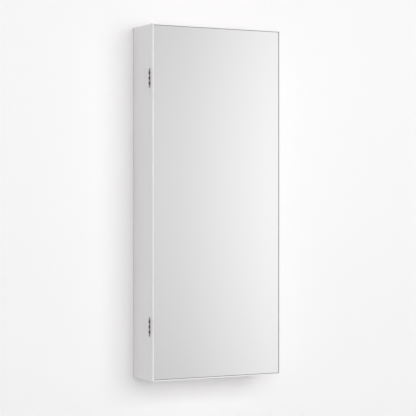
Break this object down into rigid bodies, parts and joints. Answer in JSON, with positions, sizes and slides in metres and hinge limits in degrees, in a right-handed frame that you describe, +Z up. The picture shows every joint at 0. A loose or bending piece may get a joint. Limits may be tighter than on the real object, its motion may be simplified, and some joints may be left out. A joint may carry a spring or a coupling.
{
  "type": "wall-hung jewelry mirror cabinet",
  "caption": "Tall shallow wall cabinet for jewelry whose whole front is a framed mirror door on side hinges, hung from a wall bar.",
  "frame": {"origin": "centre of the wall bar's rear face, on the wall", "axes": "+X to the right as seen from the front, -Y out of the wall towards the viewer, +Z up"},
  "size_m": [0.4116, 0.127, 0.99],
  "materials": {
    "lacquer": "satin white lacquer on board",
    "beech": "plain beech",
    "velvet": "charcoal velvet",
    "brass": "brushed and lacquered",
    "bronze": "antique bronze",
    "aluminium": "mill finish",
    "zinc_steel": "zinc plated",
    "ferrite": "bare ferrite",
    "catch_plastic": "moulded, matt",
    "mirror": "polished, silvered behind",
    "film": "grey safety film",
    "foam_tape": "black foam tape",
    "seal": "dark grey seal",
    "felt": "pressed felt",
    "clear_rubber": "soft, translucent"
  },
  "bodies": {
    "wall_bar": {"wall_z_bar": "aluminium"},
    "case": {"case_z_bar": "aluminium", "z_bar_screws": "zinc_steel", "wall_bumpers": "felt", "case_side_left": "lacquer", "case_side_right": "lacquer", "case_top": "lacquer", "case_bottom": "lacquer", "corner_dowels": "beech", "case_back_board": "lacquer", "back_lining": "velvet", "necklace_rail": "lacquer", "necklace_pegs": "brass", "shelf_upper": "lacquer", "shelf_lower": "lacquer", "shelf_pads": "velvet", "shelf_pins": "brass", "gallery_rods": "brass", "gallery_posts": "brass", "bin_dividers": "lacquer", "bin_front": "lacquer", "bin_pads": "velvet", "ring_tray": "lacquer", "ring_tray_screws": "zinc_steel", "ring_rolls": "velvet", "bracelet_bar": "velvet", "bracelet_sockets": "brass", "bracelet_socket_screws": "zinc_steel", "catch_body": "catch_plastic", "catch_screws": "zinc_steel", "catch_magnet": "ferrite", "catch_poles": "zinc_steel", "hinge_case_leaf_upper": "bronze", "hinge_case_leaf_lower": "bronze", "hinge_pin_upper": "bronze", "hinge_pin_lower": "bronze", "hinge_case_screws": "bronze"},
    "door": {"door_core": "lacquer", "door_stile_left": "lacquer", "door_stile_right": "lacquer", "door_rail_top": "lacquer", "door_rail_bottom": "lacquer", "mirror_glass": "mirror", "mirror_film": "film", "mirror_tape": "foam_tape", "mirror_seal": "seal", "door_lining": "velvet", "hinge_door_leaf_upper": "bronze", "hinge_door_leaf_lower": "bronze", "hinge_door_screws": "bronze", "strike_plate": "zinc_steel", "strike_screw": "zinc_steel", "door_bumpers": "clear_rubber", "earring_bracket_left": "lacquer", "earring_bracket_right": "lacquer", "earring_rack_screws": "zinc_steel", "earring_strips": "brass", "stud_cushion_board": "velvet", "stud_cushion": "velvet"}
  },
  "joints": [
    {"name": "lift_off", "type": "slide", "parent": "wall_bar", "child": "case", "axis": [0, 0, 1], "range_m": [0, 0.0125]},
    {"name": "door_swing", "type": "hinge", "parent": "case", "child": "door", "pos_m": [-0.2056, -0.1087, 0], "axis": [0, 0, -1], "range_deg": [0, 180]}
  ]
}
